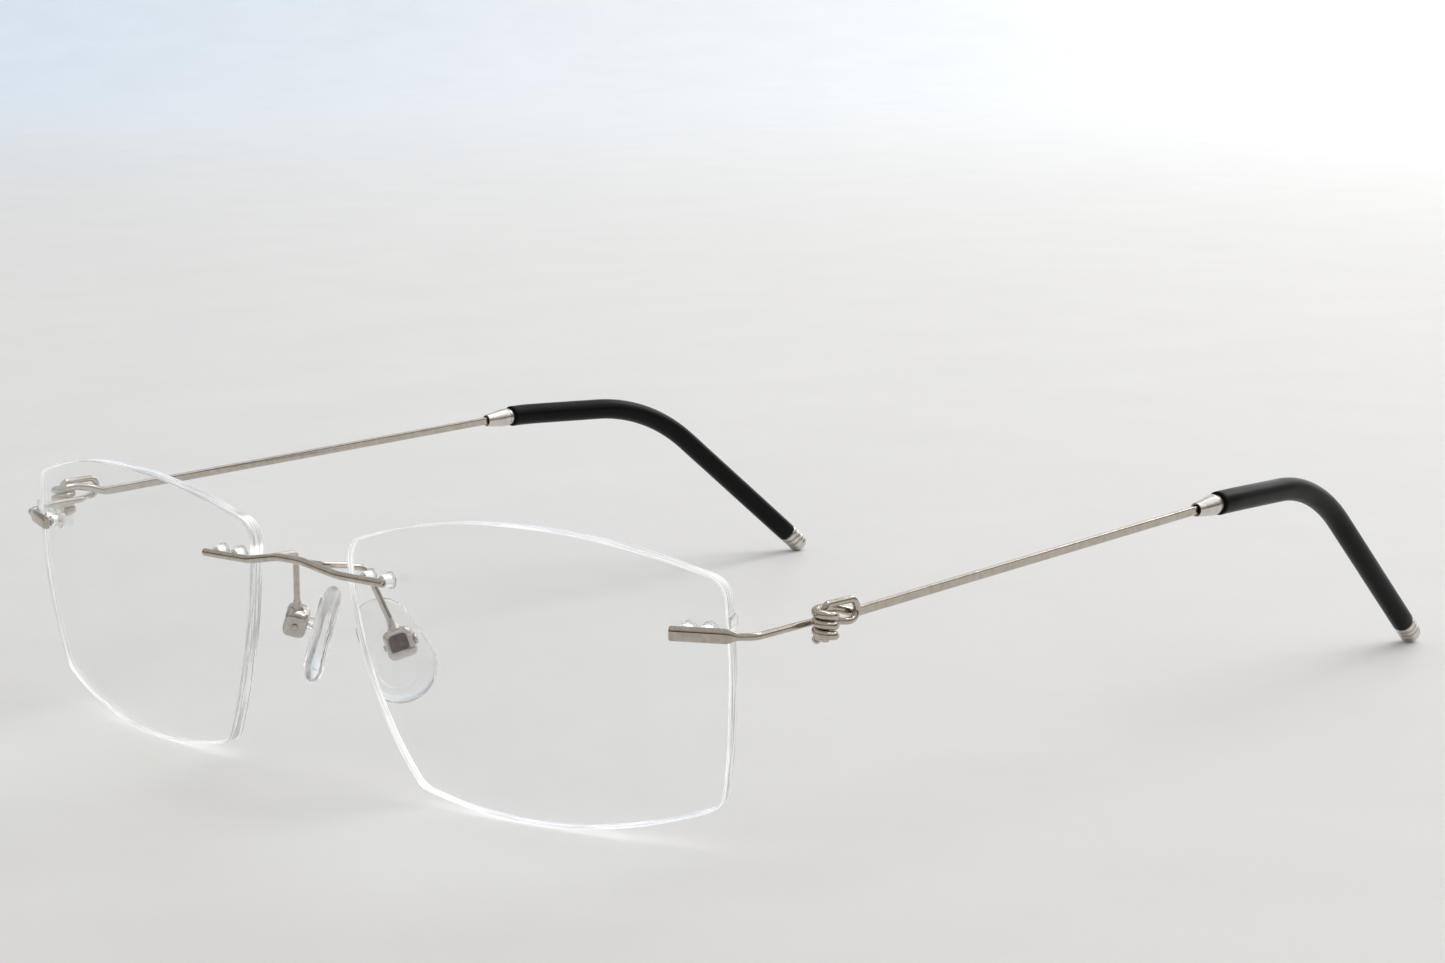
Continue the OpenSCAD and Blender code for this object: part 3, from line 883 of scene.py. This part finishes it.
def temple_wire_shape():
    """Flat strip from inside the sleeve, its forged end, the prong and three turns of the hinge coil."""
    back_end = SLEEVE_START + CORE_L * STRIP_DIR
    prong = rounded_route(
        [
            STRIP_START + (0, -0.9, 0.15), (HINGE[0] - COIL_R, HINGE[1] + 3, COIL_TOP - 0.35),
            (HINGE[0] - COIL_R, HINGE[1] + 1.4, COIL_TOP), coil_point(0),
        ],
        [2.5, 2.0], 6,
    )[:-1]
    per_turn = 44
    coil = [coil_point(i / per_turn) for i in range(1, int(per_turn * COIL_TURNS) + 1)]
    sides, corner = 32, 0.2
    points = [back_end, back_end - 0.3 * STRIP_DIR]
    sections = [box_section(STRIP_T / 2, STRIP_H / 2, corner, sides)] * 2
    steps = 24
    for k in range(1, steps):
        points.append(back_end + (STRIP_START - back_end) * k / steps)
        sections.append(box_section(STRIP_T / 2, STRIP_H / 2, corner, sides))
    for share, swell in ((0.0, 1.0), (0.35, 1.02), (0.7, 1.0)):
        points.append(STRIP_START + share * (prong[0] - STRIP_START))
        w = STRIP_T / 2 + share * (COIL_WIRE_R - STRIP_T / 2)
        h = (STRIP_H / 2 + share * (COIL_WIRE_R - STRIP_H / 2)) * swell
        sections.append(box_section(w, h, corner + share * (min(w, h) - corner), sides))
    rounds = list(prong) + coil
    points += rounds
    sections += [box_section(COIL_WIRE_R, COIL_WIRE_R, COIL_WIRE_R, sides)] * len(rounds)
    t1 = unit(coil[-1] - coil[-2])
    tail = end_rings(COIL_WIRE_R, 0.12, True)
    points = points[:-1] + [coil[-1] - d * t1 for _, d in reversed(tail)]
    sections = sections[:-1] + [box_section(r, r, r, sides) for r, _ in reversed(tail)]
    return sweep(points, sections, -STRIP_DIR, t1, 2, len(tail))


def collar_shape():
    """Turned ferrule: a bored mouth around the strip, widest near the back, then tucked into the sleeve."""
    profile = [
        (0.05, 0.8), (0.66, 0.8), (0.72, 0.7), (0.72, 0.12), (0.78, 0.02), (0.84, 0.0), (0.9, 0.05),
        (0.93, 0.16), (1.0, 0.8), (1.13, 1.7), (1.25, 2.6), (1.33, 3.3), (1.37, 3.75), (1.37, 3.95),
        (1.33, 4.1), (1.29, 4.14), (1.28, 4.2), (1.24, 4.6), (1.16, 4.9), (1.1, 5.0), (1.1, COLLAR_L),
        (0.05, COLLAR_L),
    ]
    return turned(profile, SLEEVE_START - (COLLAR_L - 0.6) * STRIP_DIR, STRIP_DIR, 72)


def sleeve_shape():
    """Soft sleeve with a hollow mouth, round the ear bend and down to the cap."""
    ear_turn = math.acos(unit(EAR_APEX - EAR_LINE) @ LEG_DIR)
    leg_start = EAR_APEX + EAR_BEND * math.tan(ear_turn / 2) * LEG_DIR
    end = EAR_APEX + LEG_L * LEG_DIR
    bends = [SLEEVE_START, EAR_LINE, EAR_APEX, leg_start + LEG_DIR]
    route = list(rounded_route(bends, [MOUTH_BEND, EAR_BEND], 1.5))[1:-1]
    steps = 12
    legs = [leg_start + (end - leg_start) * k / steps for k in range(1, steps)]
    mouth = [(0.1, 0.62), (1.12, 0.6), (1.16, 0.1), (1.22, 0.0), (1.4, 0.0), (1.5, 0.05), (SLEEVE_R, 0.18)]
    foot = [(SLEEVE_R, 0.16), (1.52, 0.04), (1.45, 0.0), (0.1, 0.0)]
    points = [SLEEVE_START + d * STRIP_DIR for _, d in mouth] + route + legs
    points += [end - d * LEG_DIR for _, d in foot]
    radii = [r for r, _ in mouth] + [SLEEVE_R] * (len(route) + len(legs)) + [r for r, _ in foot]
    sections = [round_section(r, 64) for r in radii]
    return sweep(points, sections, STRIP_DIR, LEG_DIR, len(mouth), len(foot))


def cap_shape():
    """Turned end cap: three ring grooves with rounded lands, and a domed end."""
    groove, pitch, dome_h = 0.18, 0.95, 1.25
    low = CAP_R - groove
    profile = [(0.05, 0.0)]
    for k in range(3):
        z = k * pitch
        land = z + pitch
        profile += [
            (low, z), (low, z + 0.13), (CAP_R - 0.04, z + 0.17), (CAP_R, z + 0.24),
            (CAP_R, land - 0.11), (CAP_R - 0.04, land - 0.04),
        ]
    start = CAP_L - dome_h
    for a in np.radians(range(0, 90, 8)):
        profile.append((CAP_R * math.cos(a) ** 0.8, start + dome_h * math.sin(a) ** 0.9))
    profile.append((0.05, CAP_L))
    return turned(profile, EAR_APEX + LEG_L * LEG_DIR, LEG_DIR, 72)


# ---------------------------------------------------------------- assembly

def build_front():
    piece("bridge", bridge_shape(), 1, "front", "titanium_wire", WIRE, replaces=["bridge_wire"])
    piece("pad_arms", yoke_shape(), 1, "front", "titanium_wire", WIRE, replaces=["pad_arm_yoke"])
    for side_name, side in SIDES.items():
        piece(f"{side_name}_solder", solder_shape(), side, "front", "titanium_wire", CAST)
        lens = make_lens(f"{side_name}_lens_blank", side)
        finish_piece(lens, "front", "clear_lens", sharp=30, replaces=[f"{side_name}_lens"])
        piece(
            f"{side_name}_end_wire", end_piece_shape(), side, "front", "titanium_wire", WIRE,
            replaces=[f"{side_name}_end_piece"],
        )
        build_bushes(side_name, side)


def build_bushes(side_name, side):
    """A clear bush and its post in each hole. The first of a pair stands for the whole CAD node."""
    for place, bushes, start, direction in (
        ("bridge", BRIDGE_BUSHES, BRIDGE_END, BRIDGE_IN),
        ("temple", TEMPLE_BUSHES, BAR_START, BAR_DIR),
    ):
        for k, spot in enumerate(bush_spots(bushes, start, direction), 1):
            stands_for = [f"{side_name}_{place}_bushes"] if k == 1 else []
            bush = bush_shape(spot, bushes)
            name = f"{side_name}_{place}_bush_{k}"
            piece(name, bush, side, "front", "clear_bush", BUSH, replaces=stands_for)
            post = post_shape(spot, bushes)
            piece(f"{side_name}_{place}_post_{k}", post, side, "front", "titanium_wire", WIRE)
    piece(f"{side_name}_edge_seat", seat_shape(), side, "front", "clear_bush", BUSH)


def build_pads():
    for side_name, side in SIDES.items():
        box = make_pad_box(f"{side_name}_cast_box", side)
        finish_piece(box, "front", "cast_metal", sharp=50, replaces=[f"{side_name}_pad_box"])
        screw = make_screw(f"{side_name}_pivot_screw", side)
        finish_piece(screw, "front", "cast_metal", CAST, 35, [f"{side_name}_pad_screw"])
        body = f"{side_name}_pad"
        for name, shape, material, sharp, node in (
            ("clear_lug", lug_shape(), BUSH, 40, "pad_lug"),
            ("silicone_pad", pad_shape(), SILICONE, 60, "nose_pad"),
        ):
            stands_for = [f"{side_name}_{node}"]
            piece(f"{side_name}_{name}", shape, side, body, "clear_silicone", material, sharp, stands_for)


def build_temples():
    for side_name, side in SIDES.items():
        body = f"{side_name}_temple"
        for kind, shape, slot, material in (
            ("temple_wire", temple_wire_shape(), "titanium_wire", WIRE),
            ("collar", collar_shape(), "turned_metal", TURNED),
            ("sleeve", sleeve_shape(), "black_sleeve", RUBBER),
            ("tip_cap", cap_shape(), "turned_metal", TURNED),
        ):
            node = f"{side_name}_{kind}"
            piece(f"{node}_shown", shape, side, body, slot, material, 45, [node])


# ---------------------------------------------------------------- studio

# Camera
CAMERA_AT = Vector((319.2, -342.52, 103.625)) * MM
CAMERA_YAW = math.radians(43.18)
CAMERA_PITCH = math.radians(9.23)
CAMERA_ROLL = math.radians(-0.93)
CAMERA_LENS = 86.13
SENSOR_W = 36

# Floor sheet, in metres from the glasses
FLOOR_FRONT = -1.2
FLOOR_BACK = 1.6
FLOOR_HALF_W = 4.0
COVE_R = 0.8
COVE_TOP = 1.6

# Colour of the room at each height, from straight down (-1) to straight up (1)
ROOM = [
    (-1.0, (0.6, 0.6, 0.6)),
    (-0.05, (0.55, 0.55, 0.55)),
    (0.0, (0.015, 0.014, 0.013)),
    (0.08, (0.04, 0.034, 0.03)),
    (0.17, (0.46, 0.4, 0.34)),
    (0.4, (0.95, 0.9, 0.84)),
    (0.75, (1, 1, 0.99)),
    (1.0, (1, 1, 1)),
]
ROOM_LIGHT = 0.58


def build_floor():
    """Pale sheet that lies flat under the glasses and curves up far behind them."""
    floor_z = cad_box[0][2]
    away = unit([-math.sin(CAMERA_YAW), math.cos(CAMERA_YAW), 0])
    across = np.array([away[1], -away[0], 0])
    stations = [(FLOOR_FRONT, 0.0), (FLOOR_BACK, 0.0)]
    for a in np.radians(range(6, 91, 6)):
        stations.append((FLOOR_BACK + COVE_R * math.sin(a), COVE_R * (1 - math.cos(a))))
    stations.append((FLOOR_BACK + COVE_R, COVE_TOP))
    points = []
    for d, z in stations:
        for s in (-FLOOR_HALF_W, FLOOR_HALF_W):
            points.append(d * away + s * across + (0, 0, z + floor_z))
    faces = [(2 * i, 2 * i + 1, 2 * i + 3, 2 * i + 2) for i in range(len(stations) - 1)]
    mesh = bpy.data.meshes.new("floor")
    mesh.from_pydata([tuple(p) for p in points], [], faces)
    mesh.shade_smooth()
    s = Shader("pale_floor", Specular_IOR_Level=0.3)
    mottle = s.noise(s.place((0.03, 0.03, 0.03)), 1.0, 4)
    s.wear(
        Base_Color=s.ramp(mottle, (0.80, 0.795, 0.785), (0.83, 0.826, 0.818)),
        Roughness=s.spread(mottle, 0.5, 0.6),
    )
    mesh.materials.append(s.material)
    floor = to_object("floor", mesh)


def studio_place(away, across, height):
    """The place that many metres beyond the glasses, to their right as the camera sees it, and above."""
    beyond = Vector((-math.sin(CAMERA_YAW), math.cos(CAMERA_YAW), 0))
    right = Vector((math.cos(CAMERA_YAW), math.sin(CAMERA_YAW), 0))
    return beyond * away + right * across + Vector((0, 0, height))


def build_light(name, at, target, size, power, colour):
    data = bpy.data.lights.new(name, "AREA")
    data.shape = "RECTANGLE"
    data.size, data.size_y = size
    data.energy = power
    data.color = colour
    o = bpy.data.objects.new(name, data)
    bpy.context.scene.collection.objects.link(o)
    o.location = studio_place(*at)
    o.rotation_euler = (studio_place(*target) - o.location).to_track_quat("-Z", "Y").to_euler()


def build_lights():
    """Two softboxes overhead, a strong light on the backdrop's right and a faint blue one on its left."""
    build_light("overhead", (0.3, 0.9, 1.1), (0.1, 0.4, 0.0), (1.5, 1.3), 3.6, (1, 1, 1))
    build_light("overhead_strip", (0.15, 0.3, 1.0), (0.05, 0.15, 0.0), (1.1, 0.35), 2.6, (1, 1, 1))
    build_light("backdrop_right", (1.35, 1.3, 1.2), (2.3, 0.9, 0.1), (1.2, 0.8), 23.0, (1, 1, 1))
    build_light("backdrop_left", (1.5, -0.8, 0.9), (2.4, -0.35, 0.35), (0.8, 0.6), 3.4, (0.15, 0.55, 1.0))


def build_room():
    """Bright ceiling, warm walls and a dark band along the horizon, for the metal to reflect."""
    world = bpy.data.worlds.new("studio")
    world.use_nodes = True
    tree = world.node_tree
    background = tree.nodes["Background"]
    place = tree.nodes.new("ShaderNodeTexCoord")
    parts = tree.nodes.new("ShaderNodeSeparateXYZ")
    height = tree.nodes.new("ShaderNodeMapRange")
    height.inputs["From Min"].default_value = -1
    ramp = tree.nodes.new("ShaderNodeValToRGB")
    tree.links.new(place.outputs["Generated"], parts.inputs[0])
    tree.links.new(parts.outputs["Z"], height.inputs["Value"])
    tree.links.new(height.outputs["Result"], ramp.inputs["Fac"])
    tree.links.new(ramp.outputs["Color"], background.inputs["Color"])
    stops = ramp.color_ramp.elements
    stops.remove(stops[1])
    for k, (z, colour) in enumerate(ROOM):
        stop = stops.new((z + 1) / 2) if k else stops[0]
        stop.color = (*colour, 1)
    background.inputs["Strength"].default_value = ROOM_LIGHT
    bpy.context.scene.world = world


def build_camera():
    data = bpy.data.cameras.new("camera")
    data.lens = CAMERA_LENS
    data.sensor_width = SENSOR_W
    data.clip_start = 0.01
    o = bpy.data.objects.new("camera", data)
    bpy.context.scene.collection.objects.link(o)
    turn = (
        Matrix.Rotation(CAMERA_YAW, 4, "Z")
        @ Matrix.Rotation(math.pi / 2 - CAMERA_PITCH, 4, "X")
        @ Matrix.Rotation(CAMERA_ROLL, 4, "Z")
    )
    o.matrix_world = Matrix.Translation(CAMERA_AT) @ turn
    bpy.context.scene.camera = o


build_camera()
build_front()
build_pads()
build_temples()
build_floor()
build_lights()
build_room()
bpy.context.scene.view_settings.view_transform = "Standard"
